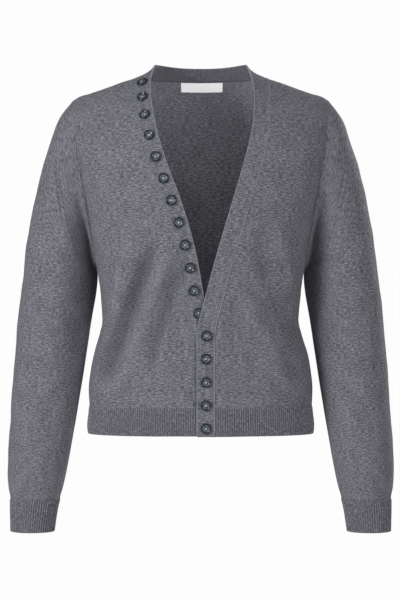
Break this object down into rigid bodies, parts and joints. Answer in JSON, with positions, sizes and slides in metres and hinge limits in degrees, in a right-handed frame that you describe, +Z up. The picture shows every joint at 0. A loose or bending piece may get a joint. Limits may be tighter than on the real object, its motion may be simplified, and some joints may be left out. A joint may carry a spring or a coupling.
{
  "type": "button cardigan, worn form",
  "caption": "Hollow worn-form knitted cardigan with a deep V neck, set-in long sleeves, ribbed hem and cuffs and a buttoned front band.",
  "frame": {"origin": "midway between the neck ends of the two shoulder seams, where the wearer's shoulders carry the garment", "axes": "+Z up, the front faces -Y, +X to the wearer's left"},
  "size_m": [0.5768, 0.2311, 0.6989],
  "materials": {
    "jersey": "fine plain-knit wool in a dark grey melange, matt with a short nap",
    "rib": "the same yarn in a narrow rib",
    "band": "the same yarn in a doubled, firmer band",
    "label": "blank white woven tape",
    "button": "dark slate polyester with a pearly centre"
  },
  "bodies": {
    "root": {"back": "jersey", "front_right": "jersey", "front_left": "jersey", "hem_back": "rib", "hem_right": "rib", "hem_left": "rib", "band_right": "band", "band_left": "band", "neck_band": "band", "sleeve_right": "jersey", "sleeve_left": "jersey", "cuff_right": "rib", "cuff_left": "rib", "label": "label", "button_01": "button", "button_02": "button", "button_03": "button", "button_04": "button", "button_05": "button", "button_06": "button", "button_07": "button", "button_08": "button", "button_09": "button", "button_10": "button", "button_11": "button", "button_12": "button", "button_13": "button", "button_14": "button", "button_15": "button", "button_16": "button", "button_17": "button"}
  },
  "joints": []
}
